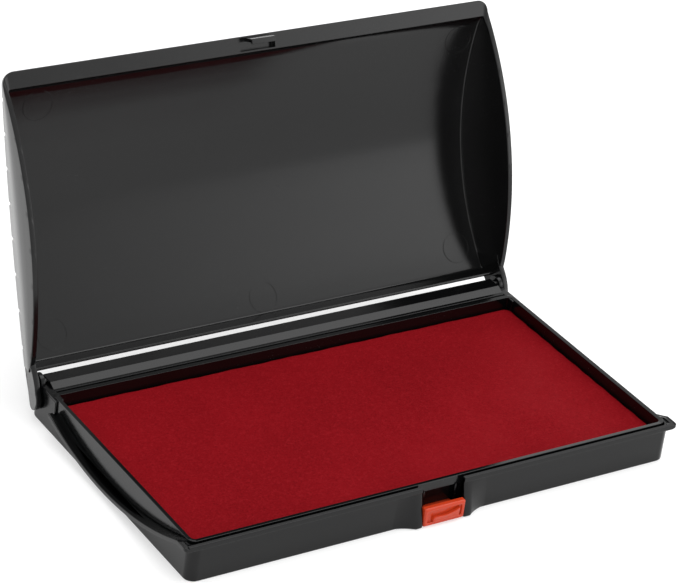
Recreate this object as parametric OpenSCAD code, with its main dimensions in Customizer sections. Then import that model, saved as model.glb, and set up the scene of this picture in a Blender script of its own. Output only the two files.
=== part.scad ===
// Large hinged ink pad: a flat black case with a drop-in pad tray and a push-button latch.
// Origin: centre of the underside of the base. +X to the right, +Y to the hinge, +Z up.
// The case is drawn standing open; "open_angle" swings the lid about the hinge pins.

/* [Case] */
// Overall width of base and lid, over the end flanges
case_w = 164; // [150:1:190]
// Overall depth of the base, front lip to back wall
base_d = 90.8; // [88:0.2:94]
// Height of the base, underside to tray rim
base_h = 12; // [11.6:0.1:14]
// Angle between base and lid when the case stands open
open_angle = 109; // [90:1:115]

/* [Pad] */
// Length of the tray opening
pad_l = 156; // [140:1:158]
// Depth of the tray opening
pad_d = 76; // [72:1:76]
// Drop from the tray rim to the inked surface
pad_drop = 3.6; // [3:0.1:4]

/* [Shape] */
// How far the end flanges sag below the rim plane
flange_sag = 8.8; // [6:0.1:9]
// Height of the lid's vault above the rim plane
vault_rise = 12.5; // [10:0.1:16]
// Radius of the vault, seen from the end
vault_r = 115.6; // [110:0.2:130]
// Inward lean of the lid's end walls above the rim plane, per mm of height
end_lean = 0.3; // [0.1:0.02:0.36]

/* [Latch] */
// Width of the push button
button_w = 13.6; // [12:0.1:14]
// Travel of the push button
button_travel = 2; // [1.5:0.1:2]

/* [Hidden] */
$fn = 48;
eps = 0.01;

// Walls and clearances
wall = 1.4;
floor_t = 1.5;
lid_wall = 1.6;
gap = 0.2;

// Depth positions: the tray sits towards the front, the hinge deck behind it
front_y = -(base_d / 2 + 0.2);
back_y = base_d / 2 - 0.2;
tray_y = -4.4;
rim_z = base_h;
lip_drop = 0.2;
lip_z = rim_z - lip_drop;
lip_t = 1.2;
body_w = case_w - 3.4;
cheek_w = case_w - 4.4;
foot_y = front_y + 0.6;

// Pad tray
tray_wall = 1.3;
tray_floor_t = 0.9;
tray_w = pad_l + 2 * tray_wall;
tray_d = pad_d + 2 * tray_wall;
tray_r = 2.2;
tray_under = base_h - 8;
tray_floor = tray_under + tray_floor_t;
tray_front = tray_y - tray_d / 2;
tray_back = tray_y + tray_d / 2;

// Layers of the pad, bottom to top
side_gap = 0.3;
board_t = 0.5;
felt_t = 1.5;
foam_t = 0.9;
cover_t = rim_z - pad_drop - tray_floor - board_t - felt_t - foam_t;
layer_inset = 0.8;

// End flange: an arc that sags below the rim plane
flange_x = case_w / 2;
flange_t = 1.8;
flange_half = 41.5;
flange_r = (flange_half * flange_half + flange_sag * flange_sag) / (2 * flange_sag);
flange_end = 31.6;

// Hinge
hinge_y = back_y - 2.6;
hinge_z = rim_z - 0.6;
pin_r = 1.0;
pin_len = 4.4;
boss_r = 2.2;
boss_l = 1.2;
pin_fit = 0.05;
pin_out = 81;
deck_rise = 0.9;
deck_ramp_y = tray_back + 1.1;
deck_top_y = deck_ramp_y + 3.5;
deck_end = back_y - 1.5;
deck_w = 155.4;

// Lid, in the closed position
lid_front = front_y;
lid_band = 5;
lid_back = hinge_y - 3.5;
back_wall_t = 0.9;
skirt_lean = 0.08;
belt_z = 0.4;
vault_y = 4.3;
vault_c = vault_rise - vault_r;
ear_t = 1.5;
ear_r = 3.9;
ear_y = hinge_y + 4.1;
ear_z = hinge_z + 1.1;
hook_w = 8;
hook_drop = 3.6;

// Latch
notch_w = button_w + 0.4;
button_top = base_h - 5.8;
button_bottom = 0.3;
plate_t = 1.8;
button_front = tray_front - 0.4 - button_travel - plate_t;
flare = 2.2;
spring_z = base_h - 9.3;
spring_d = 1.9;
spring_wire = 0.35;
spring_turns = 6;
spring_front = front_y + 3.6;
spring_len = 6.5;

// Rounded rectangle made of true arcs
module rounded_rect(w, d, r) {
  square([w - 2 * r, d], center = true);
  square([w, d - 2 * r], center = true);
  for (sx = [-1, 1], sy = [-1, 1])
    translate([sx * (w / 2 - r), sy * (d / 2 - r)]) circle(r);
}

module slab(w, d, r, y, z0, z1) {
  translate([0, y, z0]) linear_extrude(z1 - z0) rounded_rect(w, d, r);
}

// Extrudes an outline drawn in the side view (Y to the right, Z up) from x0 to x1
module side_extrude(x0, x1) {
  translate([x0, 0, 0]) rotate([90, 0, 90]) linear_extrude(x1 - x0) children();
}

// Side-view disc whose lower arc is the end flange's top surface
module flange_disc(grow) {
  translate([0, rim_z - flange_sag + flange_r]) circle(flange_r + grow, $fn = 180);
}

// ---------- Base ----------

module base_body() {
  depth = back_y - foot_y;
  slab(body_w, depth, 3, foot_y + depth / 2, 0, rim_z - flange_t);
  // front wall and lip, flush with the flanges' front corners
  translate([-flange_x, front_y, lip_z - flange_t]) cube([2 * flange_x, lip_t + 1, flange_t]);
  translate([-body_w / 2 + 3, front_y, 1]) cube([body_w - 6, lip_t, lip_z - 1]);
}

module end_flanges() {
  for (x0 = [-flange_x, flange_x - 2.6])
    side_extrude(x0, x0 + 2.6) intersection() {
      difference() {
        flange_disc(flange_t);
        flange_disc(0);
      }
      translate([front_y, 0]) square([flange_end - front_y, lip_z]);
    }
}

// Raised deck behind the tray, with a ramp at its front and the pin seats in its ends
module hinge_deck() {
  side_extrude(-deck_w / 2, deck_w / 2) polygon([
    [tray_back + gap, rim_z - 4],
    [tray_back + gap, rim_z - 0.3],
    [deck_ramp_y, rim_z - 0.3],
    [deck_top_y, rim_z + deck_rise],
    [deck_end, rim_z + deck_rise],
    [back_y - 0.75, rim_z - 0.2],
    [back_y, rim_z - 0.9],
    [back_y, rim_z - 4]
  ]);
  for (x0 = [-cheek_w / 2, deck_w / 2])
    side_extrude(x0, x0 + (cheek_w - deck_w) / 2) polygon([
      [flange_end, rim_z - 4],
      [flange_end, rim_z - 0.3],
      [back_y - 0.8, rim_z - 0.3],
      [back_y, rim_z - 0.9],
      [back_y, rim_z - 4]
    ]);
  // bosses around the pin seats
  for (x0 = [-cheek_w / 2, cheek_w / 2 - boss_l])
    translate([x0, hinge_y, hinge_z]) rotate([0, 90, 0]) cylinder(h = boss_l, r = boss_r);
}

// Cheeks that flare forward beside the button, blended into the wall by concave arcs
module latch_flare() {
  blend = 7;
  intersection() {
    side_extrude(-22, 22) polygon([
      [front_y, lip_z - 1],
      [front_y - flare, 2],
      [front_y - flare, 0],
      [foot_y + 2, 0],
      [foot_y + 2, lip_z - 1]
    ]);
    linear_extrude(base_h) difference() {
      translate([-notch_w / 2 - blend - 1.6, front_y - flare])
        square([notch_w + 2 * (blend + 1.6), flare + 2]);
      for (sx = [-1, 1])
        translate([sx * (notch_w / 2 + 1.6 + blend), front_y - blend]) circle(blend);
    }
  }
}

module base_cavity() {
  // pocket that the tray drops into
  slab(tray_w + 2 * gap, tray_d + 2 * gap, tray_r + gap, tray_y, tray_under - gap, base_h + 5);
  // space below the tray
  slab(tray_w - 2, tray_d - 0.4, tray_r, tray_y, floor_t, tray_under);
  // hollow below the hinge deck
  translate([-deck_w / 2 + 2, tray_back + 1.4, floor_t])
    cube([deck_w - 4, back_y - wall - tray_back - 1.4, rim_z - 2.6 - floor_t]);
  // behind the flanges the sides step in, so that the lid's ears swing past them
  for (x0 = [-case_w / 2, cheek_w / 2])
    translate([x0, flange_end, -1]) cube([(case_w - cheek_w) / 2, base_d, base_h + 5]);
  // the side walls are cut down to the flanges
  for (x0 = [-case_w / 2 - 5, tray_w / 2 - 1])
    side_extrude(x0, x0 + 6 + (case_w - tray_w) / 2) intersection() {
      flange_disc(0);
      translate([-flange_half, 0]) square([flange_end + flange_half, base_h + 10]);
    }
}

// Notch through the lip for the lid's hook, and the slot that the button slides in
module latch_opening() {
  translate([-notch_w / 2, front_y - flare - 1, -1])
    cube([notch_w, tray_front - gap - front_y + flare + 1, base_h + 2]);
  translate([-notch_w / 2, front_y - 1, floor_t])
    cube([notch_w, lip_t + wall + 1.2, base_h]);
}

// Ribs that the tray stands on, and the stop behind the latch spring
module tray_rests() {
  rise = tray_under - floor_t + eps;
  for (x = [-66, -33, 33, 66])
    translate([x - 0.6, tray_y - 32, floor_t - eps]) cube([1.2, 64, rise]);
  translate([-4, spring_front + spring_len + 0.05, floor_t - eps]) cube([8, 1.2, rise]);
}

module base_shell() color("dimgray") {
  difference() {
    union() {
      base_body();
      end_flanges();
      hinge_deck();
      latch_flare();
    }
    base_cavity();
    latch_opening();
    for (sx = [-1, 1])
      translate([sx * (pin_out - pin_len / 2), hinge_y, hinge_z])
        rotate([0, 90, 0]) cylinder(h = pin_len + 2 * gap, r = pin_r, center = true);
  }
  tray_rests();
}

// ---------- Pad ----------

module pad_tray() color("slategray") difference() {
  slab(tray_w, tray_d, tray_r, tray_y, tray_under, rim_z);
  slab(pad_l, pad_d, tray_r - tray_wall + 0.4, tray_y, tray_floor, rim_z + 1);
  // shallow catch recess that the lid's hook snaps into
  translate([-notch_w / 2 + 0.4, tray_front - 1, tray_under - 1])
    cube([notch_w - 0.8, 1.5, base_h - 2.7 - tray_under + 1]);
}

module pad_layer(inset, z0, z1) {
  slab(pad_l - 2 * inset, pad_d - 2 * inset, 1, tray_y, z0, z1);
}

module backing_board() color("tan")
  pad_layer(layer_inset, tray_floor, tray_floor + board_t);

module felt_reservoir() color("indianred")
  pad_layer(layer_inset, tray_floor + board_t, tray_floor + board_t + felt_t);

module foam_layer() color("lightcoral")
  pad_layer(layer_inset, tray_floor + board_t + felt_t, tray_floor + board_t + felt_t + foam_t);

// Woven cover: a sheet over the foam, turned down the sides to the tray floor
module pad_cover() color("firebrick") difference() {
  pad_layer(side_gap, tray_floor, rim_z - pad_drop);
  pad_layer(layer_inset, tray_floor - 1, rim_z - pad_drop - cover_t);
}

// ---------- Lid, drawn closed and swung open ----------

function rim_drop(y) =
  abs(y) < flange_half
  ? sqrt(flange_r * flange_r - y * y) - (flange_r - flange_sag)
  : 0;
function vault_z(y, r) = vault_c + sqrt(r * r - (y - vault_y) * (y - vault_y));

// Loft between the rim curve and the vault. Its end walls are nearly upright below the
// belt line, where they pass the tray, and lean inwards above it
module vault_solid(y0, y1, half_w, r, skirt) {
  n = 36;
  k = 6;
  points = [for (i = [0:n])
    let (y = y0 + (y1 - y0) * i / n, low = -rim_drop(y) - skirt, high = vault_z(y, r))
    let (belt = half_w - skirt_lean * (belt_z - low))
    let (top = belt - end_lean * (high - belt_z))
    each [
      [-half_w, y, low], [half_w, y, low], [belt, y, belt_z],
      [top, y, high], [-top, y, high], [-belt, y, belt_z]
    ]];
  sides = [for (i = [0:n - 1], j = [0:k - 1])
    let (a = k * i, next = (j + 1) % k)
    [a + j, a + next, a + k + next, a + k + j]];
  ends = [[for (j = [0:k - 1]) k - 1 - j], [for (j = [0:k - 1]) k * n + j]];
  translate([0, 0, rim_z]) polyhedron(points, concat(sides, ends), 4);
}

module lid_hook() {
  translate([-hook_w / 2, lid_front + 0.5, rim_z - hook_drop]) cube([hook_w, 0.9, hook_drop + 1]);
  translate([-hook_w / 2, lid_front + 0.5, rim_z - hook_drop]) cube([hook_w, 1.7, 0.7]);
}

// Rounded ends of the end walls, which reach back past the hinge pins
module lid_ears() {
  for (sx = [-1, 1])
    side_extrude(sx * 80.9 - ear_t / 2 + 0.2, sx * 80.9 + ear_t / 2 - 0.2) {
      translate([ear_y, ear_z]) circle(ear_r);
      translate([lid_back - 3, ear_z - ear_r]) square([ear_y - lid_back + 3, 2 * ear_r]);
    }
}

module lid_closed() difference() {
  union() {
    difference() {
      vault_solid(lid_front, lid_back + back_wall_t, flange_x, vault_r, -gap);
      vault_solid(lid_front + lid_band, lid_back, flange_x - lid_wall, vault_r - lid_wall, 1);
      // the front band stays clear of the tray's rim
      translate([-tray_w / 2 - gap, lid_front - 1, rim_z - 4])
        cube([tray_w + 2 * gap, lid_band + 4, 4 + gap]);
      // the back wall's edge stays clear of the hinge deck and of the base's cheeks
      translate([-deck_w / 2 - gap, lid_back - 1, rim_z - 4])
        cube([deck_w + 2 * gap, 6, 4 + deck_rise + gap]);
      translate([-cheek_w / 2 - gap, lid_back - 1, rim_z - 4]) cube([cheek_w + 2 * gap, 6, 4]);
    }
    lid_hook();
    lid_ears();
  }
  for (sx = [-1, 1])
    translate([sx * (pin_out - pin_len / 2), hinge_y, hinge_z])
      rotate([0, 90, 0]) cylinder(h = pin_len + 2 * gap, r = pin_r + pin_fit, center = true);
}

module lid_shell() color("dimgray")
  translate([0, hinge_y, hinge_z]) rotate([-open_angle, 0, 0])
    translate([0, -hinge_y, -hinge_z]) lid_closed();

// ---------- Latch and hinge hardware ----------

module latch_button() color("orangered") {
  // front plate
  translate([-button_w / 2, button_front, button_bottom])
    cube([button_w, plate_t, button_top - button_bottom]);
  // slide under the tray, with the seat for the spring
  translate([-5, button_front + plate_t - eps, spring_z - 1.1])
    cube([10, spring_front - button_front - plate_t + eps, 2.2]);
  // ramp that lifts the lid's hook
  side_extrude(-4, 4) polygon([
    [button_front + plate_t - eps, spring_z],
    [button_front + plate_t - eps, button_top - 0.6],
    [front_y + 0.2, spring_z + 1]
  ]);
}

module latch_spring() color("silver") {
  pitch = (spring_len - spring_wire) / spring_turns;
  for (i = [0:spring_turns])
    translate([0, spring_front + spring_wire / 2 + i * pitch, spring_z]) rotate([90, 0, 0])
      rotate_extrude() translate([spring_d / 2 - spring_wire / 2, 0]) circle(spring_wire / 2);
}

module hinge_pin(sx) {
  translate([sx * (pin_out - pin_len / 2), hinge_y, hinge_z])
    rotate([0, 90, 0]) cylinder(h = pin_len, r = pin_r, center = true);
}

module hinge_pin_left() color("silver") hinge_pin(-1);
module hinge_pin_right() color("silver") hinge_pin(1);

base_shell();
pad_tray();
backing_board();
felt_reservoir();
foam_layer();
pad_cover();
lid_shell();
latch_button();
latch_spring();
hinge_pin_left();
hinge_pin_right();
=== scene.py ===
"""Large hinged ink pad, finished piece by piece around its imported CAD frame."""

import math

import bpy
from mathutils import Matrix, Vector


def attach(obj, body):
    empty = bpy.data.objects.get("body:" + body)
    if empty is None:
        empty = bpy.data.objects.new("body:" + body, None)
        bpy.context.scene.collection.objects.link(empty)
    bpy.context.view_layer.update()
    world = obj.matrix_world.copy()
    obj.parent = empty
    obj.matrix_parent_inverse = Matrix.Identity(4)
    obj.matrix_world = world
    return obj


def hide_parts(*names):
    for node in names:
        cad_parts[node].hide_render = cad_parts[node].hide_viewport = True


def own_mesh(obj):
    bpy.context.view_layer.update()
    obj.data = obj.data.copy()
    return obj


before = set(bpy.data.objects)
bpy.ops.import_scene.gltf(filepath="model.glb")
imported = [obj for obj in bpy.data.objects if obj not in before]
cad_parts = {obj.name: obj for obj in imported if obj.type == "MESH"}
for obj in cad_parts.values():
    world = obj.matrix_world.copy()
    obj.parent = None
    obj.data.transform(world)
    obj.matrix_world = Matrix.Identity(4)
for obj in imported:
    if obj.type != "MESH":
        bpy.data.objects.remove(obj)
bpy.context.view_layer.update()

# ---------------------------------------------------------------- sizes, in mm

MM = 0.001
CASE_HALF = 82.0
FRONT_Y = -45.6
BACK_Y = 45.2
RIM_Z = 12.0
LIP_Z = 11.8
TRAY_Y = -4.4
TRAY_HALF_W, TRAY_HALF_D = 79.3, 39.3
WELL_HALF_W, WELL_HALF_D = 78.0, 38.0
BODY_HALF = 79.9
CHEEK_HALF = 79.8
DECK_HALF = 77.7
HINGE_Y, HINGE_Z = 42.6, 11.4
OPEN_ANGLE = 109.0
FLANGE_HALF, FLANGE_SAG, FLANGE_END = 41.5, 8.8, 31.6
FLANGE_THICK, FLANGE_NOSE, FLANGE_COVER = 1.4, 0.9, 0.9
KNUCKLE_RADIUS = 2.75
FLANGE_RADIUS = (FLANGE_HALF ** 2 + FLANGE_SAG ** 2) / (2 * FLANGE_SAG)
VAULT_RADIUS, VAULT_RISE, VAULT_Y = 115.6, 12.5, 4.3
LID_SKIN = 1.6
LID_BACK = 40.0
LID_GAP = 0.2
LID_CORNER = 3.5
# Above the belt the end walls lean in more. The blend, in square mm, softens that bend.
BELT, BELT_BLEND = 0.4, 0.9
SKIRT_LEAN, END_LEAN = 0.08, 0.30
RIB_FIRST, RIB_PITCH, RIB_WIDTH, RIB_DEPTH, RIB_COUNT = -37.7, 10.26, 1.5, 0.6, 8
EAR_Y, EAR_Z, EAR_RADIUS, EAR_START = 46.7, 12.5, 3.9, 33.5
NOTCH_HALF = 7.0
PAD_TOP = 8.4
TRAY_FLOOR = 4.9
BUTTON_FRONT, BUTTON_BACK = -47.9, -46.1


def rim_drop(y):
    """How far the end flange's arc hangs below the rim plane."""
    if abs(y) >= FLANGE_HALF:
        return 0.0
    return math.sqrt(FLANGE_RADIUS ** 2 - y * y) - (FLANGE_RADIUS - FLANGE_SAG)


def vault_z(y, skin=0.0):
    """Height of the vault above the rim plane."""
    radius = VAULT_RADIUS - skin
    return VAULT_RISE - VAULT_RADIUS + math.sqrt(radius ** 2 - (y - VAULT_Y) ** 2)


# ---------------------------------------------------------------- node trees


class Wire:
    """A node socket that takes part in arithmetic. Each operation adds a Math node."""

    def __init__(self, bench, socket):
        self.bench, self.socket = bench, socket

    def __add__(self, other):
        return self.bench.math("ADD", self, other)

    def __sub__(self, other):
        return self.bench.math("SUBTRACT", self, other)

    def __rsub__(self, other):
        return self.bench.math("SUBTRACT", other, self)

    def __mul__(self, other):
        return self.bench.math("MULTIPLY", self, other)

    def __truediv__(self, other):
        return self.bench.math("DIVIDE", self, other)

    def __rtruediv__(self, other):
        return self.bench.math("DIVIDE", other, self)

    def __pow__(self, other):
        return self.bench.math("POWER", self, other)

    def __abs__(self):
        return self.bench.math("ABSOLUTE", self)

    __radd__ = __add__
    __rmul__ = __mul__

    def root(self):
        return self.bench.math("SQRT", self)

    def sine(self):
        return self.bench.math("SINE", self)

    def nearest(self):
        return self.bench.math("ROUND", self)

    def at_least(self, other):
        return self.bench.math("MAXIMUM", self, other)

    def at_most(self, other):
        return self.bench.math("MINIMUM", self, other)

    def ease(self, low, high):
        """0 below low, 1 above high, and a smooth step between them."""
        return self.bench.wire("ShaderNodeMapRange", {"interpolation_type": "SMOOTHSTEP"},
                               {"Value": self, "From Min": low, "From Max": high})


class Bench:
    """A node tree, and the one way that nodes are added to it."""

    def __init__(self, tree):
        self.tree = tree
        self.count = 0

    def put(self, kind, settings=None, sockets=None):
        node = self.tree.nodes.new(kind)
        node.location = (220 * (self.count % 12), -280 * (self.count // 12))
        self.count += 1
        for name, value in (settings or {}).items():
            setattr(node, name, value)
        for key, value in (sockets or {}).items():
            if isinstance(value, Wire):
                self.tree.links.new(value.socket, node.inputs[key])
            else:
                node.inputs[key].default_value = value
        return node

    def wire(self, kind, settings=None, sockets=None, output=0):
        return Wire(self, self.put(kind, settings, sockets).outputs[output])

    def math(self, operation, first, second=0.0):
        return self.wire("ShaderNodeMath", {"operation": operation}, {0: first, 1: second})

    def tint(self, factor, first, second):
        """Colour mixed from first to second by factor."""
        return self.wire("ShaderNodeMix", {"data_type": "RGBA"}, {0: factor, 6: first, 7: second}, 2)

    def parts(self, vector):
        """The x, y and z of a vector."""
        node = self.put("ShaderNodeSeparateXYZ", None, {0: vector})
        return [Wire(self, node.outputs[k]) for k in range(3)]


# ---------------------------------------------------------------- finishes


def start_finish(name):
    material = bpy.data.materials.new(name)
    material.use_nodes = True
    material.node_tree.nodes.clear()
    return material, Bench(material.node_tree)


def end_finish(bench, sockets):
    shader = bench.wire("ShaderNodeBsdfPrincipled", None, sockets)
    bench.put("ShaderNodeOutputMaterial", None, {"Surface": shader})


def noise(bench, where, scale, detail=2.0, roughness=0.5, distortion=0.0):
    return bench.wire("ShaderNodeTexNoise", None, {
        "Vector": where, "Scale": scale, "Detail": detail,
        "Roughness": roughness, "Distortion": distortion})


def stretched(bench, where, scale):
    """Object coordinates, scaled differently along each axis."""
    return bench.wire("ShaderNodeMapping", None, {"Vector": where, "Scale": scale})


def bump(bench, height, depth_mm):
    return bench.wire("ShaderNodeBump", None,
                      {"Height": height, "Distance": depth_mm * MM, "Strength": 1.0})


HAZE = 0.05
DUST_GREY = (0.19, 0.19, 0.19, 1.0)


def moulded_plastic(name, tone, lift, rough, grain, level):
    """Injection-moulded plastic: fine spark-eroded grain, flow marks, dust and faint scuffs."""
    material, bench = start_finish(name)
    where = bench.wire("ShaderNodeTexCoord", None, None, "Object")
    fine = noise(bench, where, 5200, 3.0, 0.65)
    flow = noise(bench, stretched(bench, where, (18, 55, 55)), 1.0, 3.0, 0.5, 0.6)
    cloud = noise(bench, where, 38, 3.0, 0.55)
    scuff = noise(bench, stretched(bench, where, (160, 2600, 1300)), 1.0, 2.0, 0.7)
    scratch = scuff.ease(0.66, 0.74) * cloud.ease(0.50, 0.68)
    dust = noise(bench, where, 2600, 1.0, 0.4).ease(0.735, 0.78) * cloud.ease(0.42, 0.62)
    colour = bench.tint(flow.ease(0.3, 0.7), (*tone, 1.0), (*lift, 1.0))
    colour = bench.tint(scratch * 0.05 + dust * 0.10, colour, DUST_GREY)
    gloss = rough - HAZE / 2 + cloud * HAZE + fine * 0.03 + scratch * 0.12 + dust * 0.2
    end_finish(bench, {
        "Base Color": colour, "Roughness": gloss, "Specular IOR Level": level, "IOR": 1.5,
        "Normal": bump(bench, fine + dust * 0.8, grain)})
    return material


def inked_cloth():
    """Plain-woven cotton soaked with dark red ink: threads, pooled ink and wet glints, with painted
    shade between the threads and painted glints on some flecks.
    """
    material, bench = start_finish("inked_cloth")
    where = bench.wire("ShaderNodeTexCoord", None, None, "Object")
    wander = noise(bench, where, 95, 2.0, 0.5)
    x, y, _z = bench.parts(where)
    pitch = 0.34 * MM
    warp = (x / pitch + wander * 0.9) * math.pi
    weft = (y / pitch + wander * 0.9) * math.pi
    over = (warp.sine() * weft.sine()) * 0.5 + 0.5
    ridge = abs(warp.sine()) * over + abs(weft.sine()) * (1 - over)
    fibre = noise(bench, stretched(bench, where, (7000, 2600, 2600)), 1.0, 3.0, 0.7)
    slub = noise(bench, stretched(bench, where, (70, 900, 900)), 1.0, 2.0, 0.6)
    pool = noise(bench, where, 26, 4.0, 0.62, 0.4)
    fleck = noise(bench, where, 900, 2.0, 0.75)
    deep, full, bright = (0.142, 0.0017, 0.0038), (0.178, 0.0024, 0.0052), (0.232, 0.0052, 0.0092)
    colour = bench.tint(pool.ease(0.30, 0.68), (*deep, 1.0), (*full, 1.0))
    # Painted shade and light: thread crowns lighter than the dips between threads, as light falls on the
    # weave; the fibre streaks are the cloth's own tone.
    colour = bench.tint(ridge * 0.34 + fibre * 0.18, colour, (*bright, 1.0))
    speck = noise(bench, where, 1700, 2.0, 0.7)
    # Painted glints: the glossy wet flecks are also painted a lighter red; their bump and lower
    # roughness are real.
    colour = bench.tint(fleck.ease(0.50, 0.68) * 0.30, colour, (0.27, 0.009, 0.014, 1.0))
    colour = bench.tint(speck.ease(0.54, 0.66) * 0.34, colour, (0.27, 0.011, 0.016, 1.0))
    colour = bench.tint(speck.ease(0.46, 0.34) * 0.34, colour, (0.085, 0.0010, 0.0025, 1.0))
    relief = ridge * 0.55 + fibre * 0.25 + slub * 0.30 + fleck * 0.45
    gloss = 0.78 - pool.ease(0.45, 0.75) * 0.16 - fleck.ease(0.60, 0.75) * 0.14
    end_finish(bench, {
        "Base Color": colour, "Roughness": gloss, "Specular IOR Level": 0.03,
        "Normal": bump(bench, relief, 0.13)})
    return material


def inked_fibre(name, tone, lift, scale, depth_mm):
    """Felt or foam under the cloth: tangled fibres or small open cells."""
    material, bench = start_finish(name)
    where = bench.wire("ShaderNodeTexCoord", None, None, "Object")
    tangle = noise(bench, where, scale, 5.0, 0.7, 1.2)
    cells = bench.wire("ShaderNodeTexVoronoi", {"feature": "F1"},
                       {"Vector": where, "Scale": scale * 0.6})
    soaked = noise(bench, where, 34, 3.0, 0.6)
    colour = bench.tint(tangle * 0.6 + soaked * 0.4, (*tone, 1.0), (*lift, 1.0))
    end_finish(bench, {
        "Base Color": colour, "Roughness": 0.92 - soaked * 0.2, "Specular IOR Level": 0.2,
        "Normal": bump(bench, tangle + cells * 0.6, depth_mm)})
    return material


def pressed_board():
    """Grey recycled board with short fibres and ink soaked in from above."""
    material, bench = start_finish("pressed_board")
    where = bench.wire("ShaderNodeTexCoord", None, None, "Object")
    fibre = noise(bench, stretched(bench, where, (900, 3600, 3600)), 1.0, 4.0, 0.7, 0.8)
    stain = noise(bench, where, 30, 3.0, 0.6)
    colour = bench.tint(fibre, (0.30, 0.27, 0.23, 1.0), (0.46, 0.42, 0.36, 1.0))
    colour = bench.tint(stain.ease(0.48, 0.66) * 0.7, colour, (0.20, 0.02, 0.025, 1.0))
    end_finish(bench, {"Base Color": colour, "Roughness": 0.85 + fibre * 0.1,
                       "Normal": bump(bench, fibre, 0.04)})
    return material


def drawn_steel(name, along):
    """Bright steel with fine lines along the drawing direction and a little oil film."""
    material, bench = start_finish(name)
    where = bench.wire("ShaderNodeTexCoord", None, None, "Object")
    lines = noise(bench, stretched(bench, where, along), 1.0, 3.0, 0.6)
    film = noise(bench, where, 240, 3.0, 0.6)
    colour = bench.tint(film.ease(0.35, 0.7), (0.60, 0.60, 0.61, 1.0), (0.46, 0.455, 0.45, 1.0))
    end_finish(bench, {"Base Color": colour, "Metallic": 1.0,
                       "Roughness": 0.24 + lines * 0.14 + film * 0.08,
                       "Normal": bump(bench, lines, 0.004)})
    return material


case_black = moulded_plastic("case_black", (0.0013, 0.0014, 0.0016), (0.0022, 0.0023, 0.0025), 0.15,
                             0.008, 0.27)
lid_black = moulded_plastic("lid_black", (0.0026, 0.0027, 0.0028), (0.0036, 0.0037, 0.0038), 0.15,
                            0.008, 0.32)
tray_black = moulded_plastic("tray_black", (0.0014, 0.0017, 0.0018), (0.0024, 0.0027, 0.0028), 0.14,
                             0.006, 0.33)
button_red = moulded_plastic("button_red", (0.42, 0.030, 0.007), (0.47, 0.038, 0.009), 0.20,
                             0.006, 0.30)
cloth_red = inked_cloth()
felt_red = inked_fibre("felt_red", (0.10, 0.004, 0.007), (0.24, 0.012, 0.018), 2200, 0.12)
foam_red = inked_fibre("foam_red", (0.13, 0.006, 0.010), (0.30, 0.020, 0.026), 3600, 0.10)
board_grey = pressed_board()
spring_steel = drawn_steel("spring_steel", (9000, 9000, 9000))
pin_steel = drawn_steel("pin_steel", (400, 14000, 14000))


# ---------------------------------------------------------------- mesh work


def piece_from(name, points, faces):
    """A mesh object from points in mm. Its place is in its mesh."""
    mesh = bpy.data.meshes.new(name)
    mesh.from_pydata([Vector(p) * MM for p in points], [], faces)
    mesh.update()
    thing = bpy.data.objects.new(name, mesh)
    bpy.context.scene.collection.objects.link(thing)
    return thing


def settle(thing):
    """Turns what the modifiers make into the plain mesh."""
    graph = bpy.context.evaluated_depsgraph_get()
    made = bpy.data.meshes.new_from_object(thing.evaluated_get(graph))
    thing.modifiers.clear()
    spent = thing.data
    thing.data = made
    bpy.data.meshes.remove(spent)
    return thing


def discard(thing):
    mesh = thing.data
    bpy.data.objects.remove(thing)
    bpy.data.meshes.remove(mesh)


def carve(thing, cutter):
    """Cuts one solid out of another and throws the cutter away."""
    cut = thing.modifiers.new("cut", "BOOLEAN")
    cut.solver, cut.operation, cut.object = "EXACT", "DIFFERENCE", cutter
    settle(thing)
    discard(cutter)


def join(name, things):
    """One piece from several closed solids."""
    points, faces = [], []
    for thing in things:
        start = len(points)
        points += [v.co / MM for v in thing.data.vertices]
        faces += [tuple(start + k for k in f.vertices) for f in thing.data.polygons]
        discard(thing)
    return piece_from(name, points, faces)


def loft(name, loops):
    """Closed solid through loops of equal length, each anticlockwise about the way it goes."""
    count = len(loops[0])
    points = [p for loop in loops for p in loop]
    faces = []
    for k in range(len(loops) - 1):
        for i in range(count):
            j = (i + 1) % count
            faces.append((k * count + i, k * count + j, (k + 1) * count + j, (k + 1) * count + i))
    faces.append(tuple(reversed(range(count))))
    faces.append(tuple((len(loops) - 1) * count + i for i in range(count)))
    return piece_from(name, points, faces)


def swing(thing):
    """Opens a piece of the closed lid about the hinge pins."""
    pivot = Vector((0, HINGE_Y, HINGE_Z)) * MM
    turn = Matrix.Rotation(math.radians(-OPEN_ANGLE), 4, "X")
    thing.data.transform(Matrix.Translation(pivot) @ turn @ Matrix.Translation(-pivot))
    return thing


def dress(thing, material, body, *nodes, slot, sharp=32.0):
    """Smooths, paints and mounts a finished piece."""
    mesh = thing.data
    mesh.shade_smooth()
    mesh.set_sharp_from_angle(angle=math.radians(sharp))
    weigh = thing.modifiers.new("weighted", "WEIGHTED_NORMAL")
    weigh.keep_sharp = True
    weigh.weight = 100
    settle(thing)
    thing.data.materials.clear()
    thing.data.materials.append(material)
    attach(thing, body)
    if nodes:
        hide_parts(*nodes)
    return thing


def arc(start, end, steps):
    """Angles from start to end, in radians, from degrees."""
    return [math.radians(start + (end - start) * k / steps) for k in range(steps + 1)]


def rounded_loop(half_w, half_d, radius, y, z, steps):
    """Rounded rectangle in the XY plane, anticlockwise from above."""
    loop = []
    for quarter, (sx, sy) in enumerate(((1, 1), (-1, 1), (-1, -1), (1, -1))):
        for a in arc(90 * quarter, 90 * quarter + 90, steps):
            loop.append((sx * (half_w - radius) + radius * math.cos(a),
                         y + sy * (half_d - radius) + radius * math.sin(a), z))
    return loop


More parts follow.
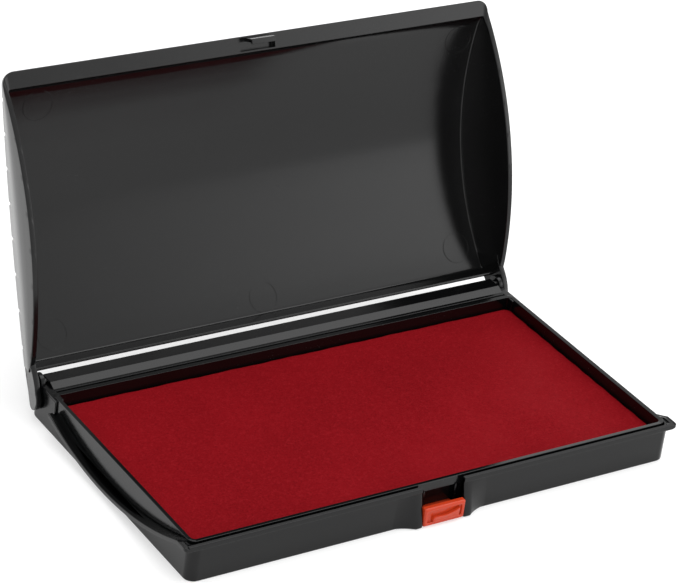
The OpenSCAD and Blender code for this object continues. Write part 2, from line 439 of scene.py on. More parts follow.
def filleted(outline, steps=3):
    """Outline of (a, b, radius) corners, with each corner rounded to its radius."""
    rounded = []
    for k, (a, b, radius) in enumerate(outline):
        here = Vector((a, b))
        back = Vector(outline[k - 1][:2]) - here
        ahead = Vector(outline[(k + 1) % len(outline)][:2]) - here
        if radius <= 0:
            rounded.append((a, b))
            continue
        reach = max(radius / math.tan(back.angle(ahead) / 2), 0.02)
        reach = min(reach, back.length * 0.49, ahead.length * 0.49)
        start, end = here + back.normalized() * reach, here + ahead.normalized() * reach
        for i in range(steps + 1):
            t = i / steps
            p = start.lerp(here, t).lerp(here.lerp(end, t), t)
            rounded.append((p.x, p.y))
    return rounded


def inset(outline, distance):
    """Anticlockwise outline moved inwards by a distance."""
    moved = []
    for k, here in enumerate(outline):
        back = (Vector(here) - Vector(outline[k - 1])).normalized()
        ahead = (Vector(outline[(k + 1) % len(outline)]) - Vector(here)).normalized()
        inward = Vector((-back.y - ahead.y, back.x + ahead.x))
        inward = inward.normalized() / max(0.4, math.cos(back.angle(ahead, 0.0) / 2))
        moved.append((here[0] + inward.x * distance, here[1] + inward.y * distance))
    return moved


def bar_along_x(name, outline, x0, x1, edge):
    """Prism along X from an anticlockwise (y, z) outline, with its end edges rounded."""
    loops = []
    for x, back in ((x0, edge), (x0 + edge * 0.3, edge * 0.3), (x0 + edge, 0),
                    (x1 - edge, 0), (x1 - edge * 0.3, edge * 0.3), (x1, edge)):
        loops.append([(x, y, z) for y, z in (inset(outline, back) if back else outline)])
    return loft(name, loops)


def tray_loft(name, rows, y=TRAY_Y, steps=6):
    """Solid through rounded rectangles, each (half width, half depth, corner radius, z)."""
    return loft(name, [rounded_loop(w, d, r, y, z, steps) for w, d, r, z in rows])


def block(name, low, high, edge):
    """Box with rounded edges."""
    (x0, y0, z0), (x1, y1, z1) = low, high
    outline = filleted([(y0, z0, edge), (y1, z0, edge), (y1, z1, edge), (y0, z1, edge)], 2)
    return bar_along_x(name, outline, x0, x1, edge)


# ---------------------------------------------------------------- grown pieces


def growing_tree(name, sizes):
    """A Geometry Nodes tree with named inputs. Returns the tree, its bench and its inputs."""
    tree = bpy.data.node_groups.new(name, "GeometryNodeTree")
    kinds = {float: "NodeSocketFloat", int: "NodeSocketInt", bpy.types.Material: "NodeSocketMaterial"}
    tree.interface.new_socket("Geometry", in_out="INPUT", socket_type="NodeSocketGeometry")
    for label, value in sizes.items():
        tree.interface.new_socket(label, in_out="INPUT", socket_type=kinds[type(value)])
    tree.interface.new_socket("Geometry", in_out="OUTPUT", socket_type="NodeSocketGeometry")
    bench = Bench(tree)
    source = bench.put("NodeGroupInput")
    return tree, bench, {s.name: Wire(bench, s) for s in source.outputs if s.name}


def end_growth(bench, geometry, material):
    whole = bench.wire("GeometryNodeRealizeInstances", None, {"Geometry": geometry})
    painted = bench.wire("GeometryNodeSetMaterial", None, {"Geometry": whole, "Material": material})
    bench.put("NodeGroupOutput", None, {"Geometry": painted})


def grow(thing, tree, sizes):
    """Runs a tree on a piece and keeps the result as its plain mesh."""
    growth = thing.modifiers.new("growth", "NODES")
    growth.node_group = tree
    for item in tree.interface.items_tree:
        if item.in_out == "INPUT" and item.name in sizes:
            growth[item.identifier] = sizes[item.name]
    return settle(thing)


def turned(bench, geometry, move=(0.0, 0.0, 0.0), turn=(0.0, 0.0, 0.0)):
    return bench.wire("GeometryNodeTransform", None,
                      {"Geometry": geometry, "Translation": move, "Rotation": turn})


# ---------------------------------------------------------------- lid


def edge_of_grid(columns, rows):
    """Grid places round the edge, anticlockwise from the front left corner."""
    return ([(i, 0) for i in range(columns - 1)]
            + [(columns - 1, j) for j in range(rows - 1)]
            + [(i, rows - 1) for i in range(columns - 1, 0, -1)]
            + [(0, j) for j in range(rows - 1, 0, -1)])


def capped_shell(xs, ys, rings, has_floor=True):
    """Shell with a grid on top, rings of points down its sides, and a grid inside it.

    Each ring is a function from a grid place to a point. The first ring is the top grid's
    edge and the last one the inner grid's edge.
    """
    columns, rows = len(xs), len(ys)
    places = edge_of_grid(columns, rows)
    points, faces, top = [], [], {}
    for j in range(rows):
        for i in range(columns):
            top[i, j] = len(points)
            points.append(rings[0](i, j))
    for j in range(rows - 1):
        for i in range(columns - 1):
            faces.append((top[i, j], top[i + 1, j], top[i + 1, j + 1], top[i, j + 1]))
    last = [top[p] for p in places]
    middle = rings[1:-1] if has_floor else rings[1:]
    for ring in middle:
        here = list(range(len(points), len(points) + len(places)))
        points += [ring(*p) for p in places]
        for a in range(len(places)):
            b = (a + 1) % len(places)
            faces.append((here[a], here[b], last[b], last[a]))
        last = here
    if has_floor:
        under = {}
        for j in range(rows):
            for i in range(columns):
                under[i, j] = len(points)
                points.append(rings[-1](i, j))
        here = [under[p] for p in places]
        for a in range(len(places)):
            b = (a + 1) % len(places)
            faces.append((here[a], here[b], last[b], last[a]))
        for j in range(rows - 1):
            for i in range(columns - 1):
                faces.append((under[i, j + 1], under[i + 1, j + 1], under[i + 1, j], under[i, j]))
    return points, faces


def corner_rounded(x, y, half, front, back, radius, back_radius):
    """Point of a rectangle with its corners rounded in plan."""
    for edge_y, r, way in ((front, radius, 1), (back, back_radius, -1)):
        dx, dy = half - abs(x), way * (y - edge_y)
        if dx < r and dy < r:
            u, v = 1 - dx / r, 1 - dy / r
            u, v = u * math.sqrt(1 - v * v / 2), v * math.sqrt(1 - u * u / 2)
            x = math.copysign(half - r * (1 - u), x)
            y = edge_y + way * r * (1 - v)
    return x, y


def lid_ring(xs, ys, side, front, back, rise, drop, skin, ribbed, corner, flat):
    """A ring, or a whole grid, of the lid as (point, shaping values).

    x is a share of the half width, which the lid's tree turns into a place.
    """
    y0, y1 = FRONT_Y + front, LID_BACK - back
    span = ys[-1] - ys[0]

    def place(i, j):
        half = CASE_HALF - side
        x = xs[i] / CASE_HALF * half
        y = y0 + (ys[j] - ys[0]) / span * (y1 - y0)
        lifted = 0.0
        if flat:
            near_front = max(0.0, 1 - (y - y0) / 4.0)
            near_back = max(0.0, 1 - (y1 - y) / 3.0)
            lifted = flat * (rim_drop(y) * near_front ** 2
                             + (rim_drop(y) + 0.9) * near_back ** 2)
        x, y = corner_rounded(x, y, half, y0, y1, corner, min(corner, 0.8))
        return (x / half, y, 0.0), (side, rise, drop - lifted, skin, ribbed)
    return place


def lid_tree(sizes):
    """Shapes the lid's grid: vault, ribs, leaning end walls and flange arc, swung open."""
    tree, bench, size = growing_tree("vaulted_lid", sizes)
    values = {}
    for label in ("side", "rise", "drop", "skin", "ribbed"):
        values[label] = bench.wire("GeometryNodeInputNamedAttribute", {"data_type": "FLOAT"},
                                   {"Name": label}, "Attribute")
    across, y, _z = bench.parts(bench.wire("GeometryNodeInputPosition"))
    arc_centre = size["Flange Radius"] - size["Flange Sag"]
    hang = ((size["Flange Radius"] ** 2 - y * y).at_least(0.0).root() - arc_centre).at_least(0.0)
    low = size["Gap"] - hang
    from_crown = y - size["Vault Centre"]
    radius = size["Vault Radius"] - values["skin"]
    high = size["Vault Rise"] - size["Vault Radius"] + (radius * radius - from_crown * from_crown).root()
    z = low + (high - low) * values["rise"] - values["drop"]
    over_belt = z - size["Belt"]
    soft_belt = (over_belt + (over_belt * over_belt + size["Belt Blend"]).root()) * 0.5
    lean = (z - low) * size["Skirt Lean"] + soft_belt * (size["End Lean"] - size["Skirt Lean"])
    half = size["Half Width"] - values["side"] - lean
    along = (y - size["First Rib"]) / size["Rib Pitch"]
    which = along.nearest().at_least(0.0).at_most(size["Rib Count"] - 1)
    off_rib = abs(along - which) * size["Rib Pitch"]
    hollow = 1 - off_rib.ease(size["Rib Width"] * 0.16, size["Rib Width"] * 0.5)
    z = z - hollow * size["Rib Depth"] * values["ribbed"]
    spot = bench.wire("ShaderNodeCombineXYZ", None, {"X": across * half, "Y": y, "Z": z})
    closed = bench.wire("GeometryNodeSetPosition", None,
                        {"Geometry": size["Geometry"], "Position": spot})
    seated = turned(bench, closed, (0.0, 0.0, RIM_Z * MM))
    pinned = turned(bench, seated, (0.0, -HINGE_Y * MM, -HINGE_Z * MM))
    opened = turned(bench, pinned, (0.0, 0.0, 0.0), (math.radians(-OPEN_ANGLE), 0.0, 0.0))
    end_growth(bench, turned(bench, opened, (0.0, HINGE_Y * MM, HINGE_Z * MM)), size["Material"])
    return tree


def lid_panel():
    """The vaulted lid with its leaning end walls, front band and ribbed outside."""
    edge = [0, 0.25, 0.6, 1.1, 1.8, 2.7, 3.6]
    xs = [-CASE_HALF + e for e in edge] + [-70 + 10 * k for k in range(15)]
    xs += [CASE_HALF - e for e in reversed(edge)]
    ys = [FRONT_Y + e for e in edge] + [-40.4]
    for k in range(RIB_COUNT):
        centre = RIB_FIRST + RIB_PITCH * k
        ys += [centre + o for o in (-1.6, -0.8, -0.62, -0.45, -0.28, -0.12, 0.0,
                                    0.12, 0.28, 0.45, 0.62, 0.8, 1.6)]
        ys += [centre + o for o in (RIB_PITCH * 0.35, RIB_PITCH * 0.65)
               if centre + o < LID_BACK - 1.4]
    ys += [LID_BACK - 0.8, LID_BACK]
    fillet, rim_round, inner_round, band, back_wall = 0.7, 0.3, 0.22, 5.0, 0.95
    places = []

    def ring(side, front, back, rise, drop, skin, ribbed, corner, flat=0.0):
        places.append(lid_ring(xs, ys, side, front, back, rise, drop, skin, ribbed, corner, flat))

    # outside: vault, rounded ridge, end walls
    for a in arc(90, 0, 4):
        back_in = fillet * (1 - math.cos(a))
        ring(back_in, back_in, back_in, 1.0, fillet * (1 - math.sin(a)) * 0.8, 0.0, 1.0,
             LID_CORNER - back_in)
    for t in (0.92, 0.8, 0.65, 0.5, 0.35, 0.2, 0.08):
        ring(0.0, 0.0, 0.0, t, fillet * 0.8 * t - rim_round * (1 - t), 0.0, max(0.0, t * 5 - 4),
             LID_CORNER, 1.0 - t)
    for a in arc(0, 90, 3):
        back_in = rim_round * (1 - math.cos(a))
        ring(back_in, back_in, back_in, 0.0, -rim_round * (1 - math.sin(a)), 0.0, 0.0,
             LID_CORNER - back_in, 1.0)
    # rim, from the outer edge to the mouth of the hollow
    for a in arc(0, 90, 3):
        close = inner_round * (1 - math.sin(a))
        ring(LID_SKIN - close, band - close, back_wall - close, 0.0,
             -inner_round * (1 - math.cos(a)), LID_SKIN, 0.0, 0.5, 1.0)
    # hollow: inner walls, soft corner, ceiling
    tall = 0.95
    for t in (0.15, 0.35, 0.6, 0.85):
        ring(LID_SKIN, band, back_wall + 0.5 * t, t, tall * t - inner_round * (1 - t), LID_SKIN,
             0.0, 0.5, 1.0 - t)
    for a in arc(0, 90, 5):
        turn_in, down = 1 - math.cos(a), tall * (1 - math.sin(a))
        ring(LID_SKIN + 0.22 * turn_in, band + 2.4 * turn_in, back_wall + 0.5 + 0.6 * turn_in, 1.0,
             down, LID_SKIN, 0.0, 0.5)
    values = []

    def pointed(place):
        def point(i, j):
            spot, shaping = place(i, j)
            values.append(shaping)
            return spot
        return point
    points, faces = capped_shell(xs, ys, [pointed(p) for p in places])
    thing = piece_from("lid_panel", points, faces)
    thing.data.vertices.foreach_set("co", [c for p in points for c in (p[0], p[1] * MM, p[2])])
    for k, label in enumerate(("side", "rise", "drop", "skin", "ribbed")):
        unit = MM if label in ("side", "drop", "skin") else 1.0
        held = thing.data.attributes.new(label, "FLOAT", "POINT")
        held.data.foreach_set("value", [v[k] * unit for v in values])
    sizes = {
        "Half Width": CASE_HALF * MM, "Flange Radius": FLANGE_RADIUS * MM,
        "Flange Sag": FLANGE_SAG * MM, "Gap": LID_GAP * MM, "Vault Radius": VAULT_RADIUS * MM,
        "Vault Rise": VAULT_RISE * MM, "Vault Centre": VAULT_Y * MM, "Belt": BELT * MM,
        "Belt Blend": BELT_BLEND * MM ** 2, "Skirt Lean": SKIRT_LEAN, "End Lean": END_LEAN,
        "First Rib": RIB_FIRST * MM,
        "Rib Pitch": RIB_PITCH * MM, "Rib Width": RIB_WIDTH * MM, "Rib Depth": RIB_DEPTH * MM,
        "Rib Count": RIB_COUNT, "Material": lid_black}
    grow(thing, lid_tree(sizes), sizes)
    return thing


def end_lean(y, z):
    """How far the end wall leans in at a height z above the rim plane."""
    over = z - BELT
    soft = (over + math.sqrt(over * over + BELT_BLEND)) / 2
    above_rim = max(0.0, z + rim_drop(y) - LID_GAP)
    return SKIRT_LEAN * above_rim + (END_LEAN - SKIRT_LEAN) * soft


def lid_ear(side):
    """Tongue that carries the end wall back past the hinge pin."""
    outline = [(EAR_START + k, RIM_Z + vault_z(EAR_START + k) - 1.2) for k in range(13)]
    outline += [(EAR_Y + EAR_RADIUS * math.cos(a), EAR_Z + EAR_RADIUS * math.sin(a))
                for a in arc(38, -112, 12)]
    outline += [(43.0, 8.9), (41.2, 9.2), (39.4, 9.8), (37.8, 10.5), (35.8, 11.0), (EAR_START, 11.2)]
    outline.reverse()
    x0, x1 = sorted((side * 80.2, side * 81.97))
    ear = bar_along_x("lid_ear", outline, x0, x1, 0.3)
    for vertex in ear.data.vertices:
        lean = end_lean(vertex.co.y / MM, vertex.co.z / MM - RIM_Z)
        vertex.co.x -= side * lean * MM
    return swing(ear)


def lid_hook():
    """Catch on the front band: a stem with a barb, beside the window it was moulded through."""
    barb = filleted([(-45.1, 8.5, 0.1), (-43.5, 8.5, 0.15), (-43.5, 9.0, 0.15), (-44.2, 9.5, 0.2),
                     (-44.2, 12.3, 0.0), (-45.1, 12.3, 0.0)], 2)
    stem = bar_along_x("hook", barb, -4.0, 4.0, 0.18)
    ribs = [block("hook_rib", (x - 0.4, -44.4, 9.6), (x + 0.4, -43.95, 12.4), 0.12)
            for x in (-3.4, 3.4)]
    return [swing(s) for s in [stem, *ribs]]


panel = lid_panel()
carve(panel, swing(block("hook_window", (-5.9, -43.9, 10.0), (5.9, -41.2, 14.0), 0.15)))
lid = join("lid_shell_moulded", [panel, lid_ear(-1), lid_ear(1), *lid_hook()])
dress(lid, lid_black, "lid", "lid_shell", slot="case_black")


# ---------------------------------------------------------------- base


def base_tub():
    """The shell below the rim: rounded corners, tray pocket, sides cut down to the flanges."""
    mid, half_d = (BACK_Y - 45.35) / 2, (BACK_Y + 45.35) / 2
    rows = [(BODY_HALF - 0.6, half_d - 0.6, 2.4, 0.0), (BODY_HALF - 0.18, half_d - 0.18, 2.8, 0.12),
            (BODY_HALF, half_d, 3.0, 0.5), (BODY_HALF, half_d, 3.0, 11.0),
            (BODY_HALF - 0.3, half_d - 0.3, 2.7, 11.3)]
    tub = tray_loft("tub", rows, mid)
    pocket = tray_loft("pocket", [(79.45, 39.7, 2.4, 1.5), (79.45, 39.7, 2.4, 20)], TRAY_Y - 0.2)
    carve(tub, pocket)
    centre_z = RIM_Z - FLANGE_SAG + FLANGE_RADIUS
    cut_radius = FLANGE_RADIUS + FLANGE_COVER
    side_arc = [(cut_radius * math.cos(a), centre_z + cut_radius * math.sin(a))
                for a in arc(-90 - 24, -90 + 17.8, 60)]
    side_arc += [(side_arc[-1][0], 30), (side_arc[0][0], 30)]
    for x0, x1 in ((-90, -78.4), (78.4, 90)):
        carve(tub, bar_along_x("side_cut", side_arc, x0, x1, 0.0001))
    carve(tub, block("groove", (-77.6, 34.8, 8.4), (77.6, 36.3, 20), 0.02))
    carve(tub, block("notch", (-NOTCH_HALF, -50, 0.2), (NOTCH_HALF, -43.95, 20), 0.02))
    return tub


def end_flange(side):
    """Ledge along the end, whose arc hangs below the rim plane."""
    stations = [FRONT_Y + 0.03, FRONT_Y + 0.12, FRONT_Y + 0.4, FRONT_Y + 0.9, -44, -43, -42]
    stations += [-41 + 1.5 * k for k in range(48)] + [30.9, FLANGE_END - 0.2, FLANGE_END]
    loops = []
    for y in stations:
        top = min(LIP_Z, RIM_Z - rim_drop(y)) - 0.03
        outer = CASE_HALF - 0.05
        thick = FLANGE_THICK
        near = y - FRONT_Y
        dip = 0.45 if y > -43.5 else 0.1
        if near < FLANGE_NOSE:
            outer -= FLANGE_NOSE - math.sqrt(FLANGE_NOSE ** 2 - (FLANGE_NOSE - near) ** 2)
            thick -= 0.3 * (1 - near / FLANGE_NOSE)
            top -= 0.2 * (1 - near / FLANGE_NOSE) ** 2
        if y > FLANGE_END - 0.15:
            top, thick, outer = top - 0.15, thick - 0.3, outer - 0.15
        section = filleted([(79.3, top - thick, 0.0), (outer, top - thick, 0.4),
                            (outer, top, 0.2), (outer - 0.45, top, 0.08),
                            (outer - 0.55, top - 0.16, 0.06), (80.55, top - 0.16, 0.1),
                            (80.35, top - 0.16 - dip, 0.1),
                            (79.3, top - 0.21 - dip, 0.0)], 3)
        if side > 0:
            loops.append([(x, y, z) for x, z in reversed(section)])
        else:
            loops.append([(-x, y, z) for x, z in section])
    return loft("flange", loops)


def front_lip(side):
    """Ledge along the top of the front wall."""
    outline = filleted([(-44.95, 9.9, 0.0), (-44.35, 9.9, 0.0), (-44.35, 11.3, 0.0),
                        (-44.5, LIP_Z, 0.1), (FRONT_Y, LIP_Z, 0.28), (FRONT_Y, 10.3, 0.3)], 3)
    x0, x1 = sorted((side * NOTCH_HALF, side * 80.7))
    return bar_along_x("front_lip", outline, x0, x1, 0.12)


def latch_flare(side):
    """Cheek beside the button: flush at the lip, swept forward at the foot."""
    loops = []
    flat_to = 9.0
    stations = [NOTCH_HALF, NOTCH_HALF + 0.15, NOTCH_HALF + 0.5, 8.2, flat_to]
    stations += [flat_to + 0.7 * k for k in range(1, 12)]
    for x in stations:
        past = max(0.0, x - flat_to) / 7.7
        reach = 2.35 * (1 - past) ** 2.2
        tuck = 0.25 * max(0.0, 1 - (x - NOTCH_HALF) / 0.5) ** 2
        front = FRONT_Y + 0.04 + 0.30 * past
        outline = [(-44.2, 0.05), (-44.2, 10.4 - tuck), (front + tuck, 10.4 - tuck),
                   (front - reach * 0.16 + tuck, 8.6), (front - reach * 0.48 + tuck, 5.6),
                   (front - reach * 0.82 + tuck, 2.6), (front - reach * 0.98 + tuck, 1.0),
                   (front - reach + 0.12 + tuck, 0.35), (front - reach + 0.45 + tuck, 0.05)]
        ordered = outline if side < 0 else list(reversed(outline))
        loops.append([(side * x, y, z) for y, z in ordered])
    return loft("latch_flare", loops)


def hinge_deck():
    """Deck behind the tray: ramp, flat and a step down at the back, with cheeks and knuckles."""
    outline = filleted([(36.0, 7.6, 0.0), (BACK_Y - 0.02, 7.6, 0.0), (BACK_Y - 0.02, 11.1, 0.3),
                        (44.5, 11.8, 0.2), (43.75, 12.9, 0.22), (39.3, 12.9, 0.6),
                        (36.9, 11.82, 0.5), (36.15, 11.7, 0.12), (36.0, 11.4, 0.1)], 4)
    solids = [bar_along_x("deck", outline, -DECK_HALF, DECK_HALF, 0.3)]
    cheek = filleted([(FLANGE_END - 0.4, 7.8, 0.0), (BACK_Y - 0.05, 7.8, 0.0),
                      (BACK_Y - 0.05, 11.1, 0.5), (44.3, 11.7, 0.3),
                      (FLANGE_END - 0.4, 11.7, 0.3)], 3)
    for x0, x1 in ((-CHEEK_HALF, -DECK_HALF + 0.4), (DECK_HALF - 0.4, CHEEK_HALF)):
        solids.append(bar_along_x("cheek", cheek, x0, x1, 0.3))
    for side in (-1, 1):
        turn = [(HINGE_Y + KNUCKLE_RADIUS * math.cos(a), HINGE_Z + KNUCKLE_RADIUS * math.sin(a))
                for a in arc(0, 345, 23)]
        knuckle = [(min(y, BACK_Y - 0.08), z) for y, z in turn]
        x0, x1 = sorted((side * 78.5, side * 79.9))
        solids.append(bar_along_x("knuckle", knuckle, x0, x1, 0.25))
    return solids


def latch_rails():
    """Guide rails in the latch window, with pointed tops."""
    rails = []
    for x in (-5.6, 5.0):
        rail = filleted([(x, 4.5, 0.0), (x + 0.6, 4.5, 0.0), (x + 0.6, 9.0, 0.1),
                         (x + 0.3, 9.7, 0.05), (x, 9.0, 0.1)], 2)
        loops = [[(a, y, z) for a, z in rail] for y in (-43.72, -44.04)]
        rails.append(loft("rail", loops))
    return rails


def tray_ribs():
    """Ribs on the floor that the tray stands on, and the stop behind the spring."""
    ribs = [block("rib", (x - 0.6, -36.4, 1.4), (x + 0.6, 27.6, 3.98), 0.15)
            for x in (-66, -33, 33, 66)]
    return ribs + [block("stop", (-4, -35.45, 1.4), (4, -34.25, 3.98), 0.15)]


base_solids = [base_tub(), end_flange(-1), end_flange(1)]
for hand in (-1, 1):
    base_solids += [front_lip(hand), latch_flare(hand)]
base_solids += [*hinge_deck(), *latch_rails(), *tray_ribs()]
base = join("base_shell_moulded", base_solids)
dress(base, case_black, "base", "base_shell", slot="case_black")


# ---------------------------------------------------------------- tray and pad


def pad_tray():
    """Drop-in tray with rounded rims, soft inner corners and the catch window in its front."""
    w, d, r = TRAY_HALF_W, TRAY_HALF_D, 2.2
    rows = [(w - 0.6, d - 0.6, r - 0.5, 4.02), (w - 0.15, d - 0.15, r - 0.1, 4.15), (w, d, r, 4.6),
            (w, d, r, RIM_Z - 0.12), (w - 0.04, d - 0.04, r - 0.05, RIM_Z - 0.04),
            (w - 0.12, d - 0.12, r - 0.1, RIM_Z)]
    w, d, r = WELL_HALF_W, WELL_HALF_D, 1.3
    rows += [(w + 0.16, d + 0.16, r + 0.15, RIM_Z - 0.16),
             (w + 0.05, d + 0.05, r + 0.05, RIM_Z - 0.2), (w, d, r, RIM_Z - 0.32),
             (w, d, r, TRAY_FLOOR + 0.5),
             (w - 0.15, d - 0.15, r, TRAY_FLOOR + 0.12), (w - 0.5, d - 0.5, r, TRAY_FLOOR)]
    tray = tray_loft("pad_tray_moulded", rows, TRAY_Y, 8)
    carve(tray, block("catch", (-6.6, -44.8, 3.0), (6.6, -42.75, RIM_Z - 2.7), 0.1))
    return tray


dress(pad_tray(), tray_black, "base", "pad_tray", slot="tray_grey")


def pad_cloth():
    """The cover: stretched over the foam, rounded over its edges and tucked down the sides."""
    half_w, half_d, bend = 77.62, 37.62, 0.9
    across, along = 120, 60
    xs = [-half_w + 2 * half_w * k / across for k in range(across + 1)]
    ys = [-half_d + 2 * half_d * k / along for k in range(along + 1)]

    def ripple(x, y):
        """Slight unevenness of the stretched cloth."""
        return (0.05 * math.sin(x * 0.071 + 0.6) * math.sin(y * 0.093 + 1.1)
                + 0.03 * math.sin(x * 0.23 + y * 0.17) + 0.02 * math.sin(y * 0.41 - x * 0.13))

    def edge_wave(i, j):
        return 0.10 * math.sin(xs[i] * 0.33 + ys[j] * 0.9) + 0.06 * math.sin(xs[i] * 0.9 + ys[j] * 0.4)

    def ring(push, height):
        def point(i, j):
            w, d = half_w - bend + push, half_d - bend + push
            wave = edge_wave(i, j) if push > 0 else 0.0
            x = xs[i] / half_w * (w + wave * (abs(ys[j]) < half_d))
            y = ys[j] / half_d * (d + wave * (abs(xs[i]) < half_w))
            x, y = corner_rounded(x, y, w, -d, d, 1.2 + push, 1.2 + push)
            crown = 0.12 * (1 - (xs[i] / half_w) ** 4) * (1 - (ys[j] / half_d) ** 4)
            level = ripple(xs[i], ys[j]) + crown if height == 0 else 0.0
            return x, y + TRAY_Y, PAD_TOP - 0.12 + height + level
        return point
    rings = [ring(0, 0)]
    rings += [ring(bend * math.sin(a), -bend * (1 - math.cos(a))) for a in arc(0, 90, 5)[1:]]
    rings += [ring(bend, -1.6), ring(bend, -2.4), ring(bend, -3.0)]
    points, faces = capped_shell(xs, ys, rings, has_floor=False)
    cloth = piece_from("pad_cover_woven", points, faces)
    thick = cloth.modifiers.new("thickness", "SOLIDIFY")
    thick.thickness, thick.offset = 0.35 * MM, -1.0
    return settle(cloth)


cloth = dress(pad_cloth(), cloth_red, "base", "pad_cover", slot="inked_cloth", sharp=60)


def soft_layer(name, half_w, half_d, low, high, sag):
    """Layer with slightly drawn-in, uneven sides."""
    rows = [(half_w - 0.25, half_d - 0.25, 0.9, low), (half_w, half_d, 1.0, low + (high - low) * 0.2),
            (half_w - sag, half_d - sag, 1.0, (low + high) / 2),
            (half_w, half_d, 1.0, high - (high - low) * 0.2), (half_w - 0.25, half_d - 0.25, 0.9, high)]
    return tray_loft(name, rows)


board = tray_loft("backing_board_cut", [(77.15, 37.15, 0.9, TRAY_FLOOR + 0.02),
                                        (77.2, 37.2, 1.0, TRAY_FLOOR + 0.08),
                                        (77.2, 37.2, 1.0, TRAY_FLOOR + 0.42),
                                        (77.15, 37.15, 0.9, TRAY_FLOOR + 0.48)])
dress(board, board_grey, "base", "backing_board", slot="grey_board")
felt = dress(soft_layer("felt_reservoir_pressed", 76.9, 36.9, 5.42, 6.88, 0.15), felt_red, "base",
             "felt_reservoir", slot="inked_felt", sharp=50)
foam = dress(soft_layer("foam_layer_soaked", 76.9, 36.9, 6.92, 7.72, 0.1), foam_red, "base",
             "foam_layer", slot="inked_foam", sharp=50)


# ---------------------------------------------------------------- latch and hinge hardware


def latch_button():
    """Push button: chamfered plate, raised crescent pad, slide and spring seat."""
    def plate_loop(back, y):
        corners = [(-6.8 + back, 0.3 + back, 0.6), (6.8 - back, 0.3 + back, 0.6),
                   (6.8 - back, 6.1 - back, 0.6), (-6.8 + back, 6.1 - back, 0.6)]
        return [(x, y, z) for x, z in filleted(corners, 4)]
    plate = loft("plate", [plate_loop(0.1, BUTTON_BACK), plate_loop(0, BUTTON_BACK - 0.15),
                           plate_loop(0, BUTTON_FRONT + 0.62), plate_loop(0.06, BUTTON_FRONT + 0.36),
                           plate_loop(0.34, BUTTON_FRONT + 0.05), plate_loop(0.62, BUTTON_FRONT),
                           plate_loop(0.95, BUTTON_FRONT + 0.02),
                           plate_loop(1.10, BUTTON_FRONT + 0.12),
                           plate_loop(1.22, BUTTON_FRONT + 0.55),
                           plate_loop(1.4, BUTTON_FRONT + 0.62)])
    face = BUTTON_FRONT + 0.7
    loops = []
    for k in range(25):
        t = k / 24
        x = -4.1 + 9.2 * t
        proud = 1.15 * min(1.0, (min(t, 1 - t) / 0.05) ** 0.5) + 0.02
        low = 1.45 + 0.25 * (2 * t - 1) ** 8
        high = 3.35 - 1.0 * t * (1 - t) + 1.25 * t ** 3
        section = filleted([(face, low, 0.0), (face, high, 0.0), (face - proud, high - 0.12, 0.35),
                            (face - proud * 0.86, high - 0.75, 0.3),
                            (face - proud * 0.72, low + 0.5, 0.3),
                            (face - proud * 0.95, low + 0.1, 0.25)], 3)
        loops.append([(x, y, z) for y, z in reversed(section)])
    crescent = loft("crescent", loops)
    slide = block("slide", (-5, BUTTON_BACK - 0.1, 1.62), (5, -42.02, 3.78), 0.2)
    ramp = bar_along_x("ramp", filleted([(-46.2, 2.7, 0), (-45.4, 3.7, 0.2), (-46.1, 5.6, 0.2),
                                         (-46.3, 5.6, 0)], 2), -4, 4, 0.15)
    return join("latch_button_moulded", [plate, crescent, slide, ramp])


dress(latch_button(), button_red, "button", "latch_button", slot="button_red")


def coil_spring():
    """Wound compression spring, its axis along Y."""
    sizes = {"Turns": 6.5, "Coil Radius": 0.775 * MM, "Length": 6.1 * MM, "Wire Radius": 0.175 * MM,
             "Material": spring_steel}
    tree, bench, size = growing_tree("coil_spring", sizes)
    path = bench.wire("GeometryNodeCurveSpiral", None, {
        "Resolution": 20, "Rotations": size["Turns"], "Start Radius": size["Coil Radius"],
        "End Radius": size["Coil Radius"], "Height": size["Length"]})
    section = bench.wire("GeometryNodeCurvePrimitiveCircle", None,
                         {"Resolution": 8, "Radius": size["Wire Radius"]})
    coil = bench.wire("GeometryNodeCurveToMesh", None,
                      {"Curve": path, "Profile Curve": section, "Fill Caps": True})
    laid = turned(bench, coil, (0.0, -35.7 * MM, 2.7 * MM), (math.radians(90), 0.0, 0.0))
    end_growth(bench, laid, size["Material"])
    return grow(piece_from("latch_spring_wound", [(0, 0, 0)], []), tree, sizes)


spring = dress(coil_spring(), spring_steel, "base", "latch_spring", slot="spring_steel", sharp=60)
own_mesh(spring)


def hinge_pin(side, name):
    """Ground pin with chamfered ends."""
    loops = []
    for x, radius in ((76.62, 0.72), (76.75, 0.92), (76.9, 1.0), (80.7, 1.0), (80.85, 0.92),
                      (80.98, 0.72)):
        ring = [(side * x, HINGE_Y + radius * math.cos(a), HINGE_Z + radius * math.sin(a))
                for a in arc(0, 360 - 15, 23)]
        loops.append(ring if side > 0 else list(reversed(ring)))
    return loft(name, loops)


for side, label in ((-1, "left"), (1, "right")):
    dress(hinge_pin(side, "hinge_pin_" + label + "_ground"), pin_steel, "base",
          "hinge_pin_" + label, slot="pin_steel", sharp=60)


# ---------------------------------------------------------------- marks left by the mould


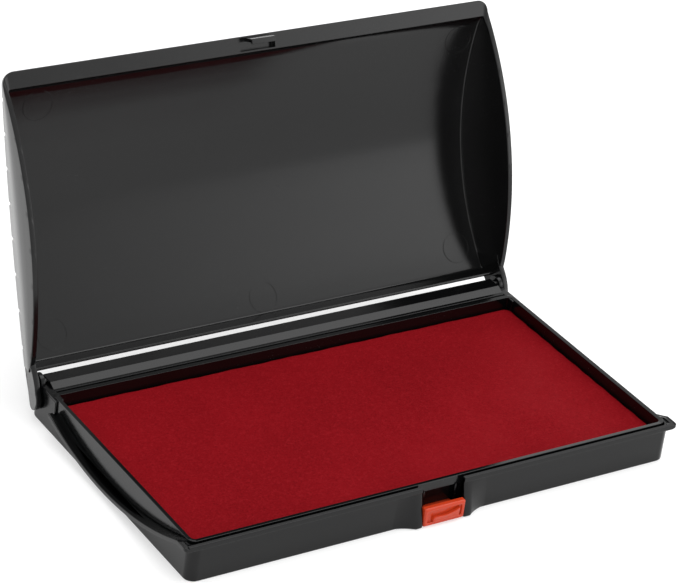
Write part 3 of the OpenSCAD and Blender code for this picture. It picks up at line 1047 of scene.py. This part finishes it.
def ejector_marks():
    """Faint rings that the mould's ejector pins leave inside the lid."""
    spots = [(-70.0, -34.5), (73.0, -34.0), (-70.0, 32.0), (70.5, 31.0), (0.0, 33.8)]
    sizes = {"Ring Radius": 4.6 * MM, "Line Radius": 0.12 * MM, "Material": lid_black}
    tree, bench, size = growing_tree("ejector_marks", sizes)
    ring = bench.wire("GeometryNodeCurvePrimitiveCircle", None,
                      {"Resolution": 64, "Radius": size["Ring Radius"]})
    section = bench.wire("GeometryNodeCurvePrimitiveCircle", None,
                         {"Resolution": 6, "Radius": size["Line Radius"]})
    mark = bench.wire("GeometryNodeCurveToMesh", None, {"Curve": ring, "Profile Curve": section})
    tilt = bench.wire("GeometryNodeInputNamedAttribute", {"data_type": "FLOAT"}, {"Name": "tilt"},
                      "Attribute")
    turn = bench.wire("ShaderNodeCombineXYZ", None, {"X": tilt})
    placed = bench.wire("GeometryNodeInstanceOnPoints", None,
                        {"Points": size["Geometry"], "Instance": mark, "Rotation": turn})
    end_growth(bench, placed, size["Material"])
    points = [(x, y, RIM_Z + vault_z(y, LID_SKIN)) for x, y in spots]
    marks = piece_from("ejector_marks", points, [])
    tilts = marks.data.attributes.new("tilt", "FLOAT", "POINT")
    inner = VAULT_RADIUS - LID_SKIN
    tilts.data.foreach_set("value", [-math.asin((y - VAULT_Y) / inner) for _x, y in spots])
    return swing(grow(marks, tree, sizes))


dress(ejector_marks(), lid_black, "lid", slot="case_black", sharp=80)

# ---------------------------------------------------------------- floor, light and camera


def pale_floor():
    """Plain floor that glows a little, so that shadows on it stay faint."""
    far = 3000
    floor = piece_from("floor", [(-far, -far, 0), (far, -far, 0), (far, far, 0), (-far, far, 0)],
                       [(0, 1, 2, 3)])
    material, bench = start_finish("floor_white")
    end_finish(bench, {"Base Color": (0.55, 0.55, 0.55, 1.0), "Roughness": 0.9,
                       "Specular IOR Level": 0.1, "Emission Color": (1.0, 1.0, 1.0, 1.0),
                       "Emission Strength": 0.5})
    floor.data.materials.append(material)


def soft_light(name, place, aim, size, watts):
    data = bpy.data.lights.new(name, "AREA")
    data.shape, data.size, data.size_y, data.energy = "RECTANGLE", size[0], size[1], watts
    light = bpy.data.objects.new(name, data)
    light.location = place
    light.rotation_euler = (Vector(aim) - Vector(place)).to_track_quat("-Z", "Y").to_euler()
    bpy.context.scene.collection.objects.link(light)


pale_floor()
world = bpy.data.worlds.new("studio")
bpy.context.scene.world = world
world.use_nodes = True
world.node_tree.nodes.clear()
sky = Bench(world.node_tree)
side, depth, height = sky.parts(sky.wire("ShaderNodeTexCoord", None, None, "Generated"))
front_right = side.ease(0.41, 0.60) * depth.ease(-0.3, -0.6) * height.ease(0.75, 0.35)
glow = sky.tint(front_right, (1.0, 1.0, 1.0, 1.0), (2.9, 2.9, 2.9, 1.0))
shade = sky.wire("ShaderNodeBackground", None, {"Color": glow, "Strength": 1.05})
sky.put("ShaderNodeOutputWorld", None, {"Surface": shade})
soft_light("overhead", (0.5, 0.0, 1.6), (0.5, 0.0, 0), (1.7, 1.2), 14.0)

camera_data = bpy.data.cameras.new("camera")
camera_data.sensor_width = 36.0
camera_data.lens = 154.48
camera = bpy.data.objects.new("camera", camera_data)
camera.location = (-0.42583, -0.56887, 0.44357)
camera.rotation_euler = [math.radians(a) for a in (60.5761, -6.7817, -32.2959)]
bpy.context.scene.collection.objects.link(camera)
bpy.context.scene.camera = camera
bpy.context.scene.view_settings.view_transform = "Standard"
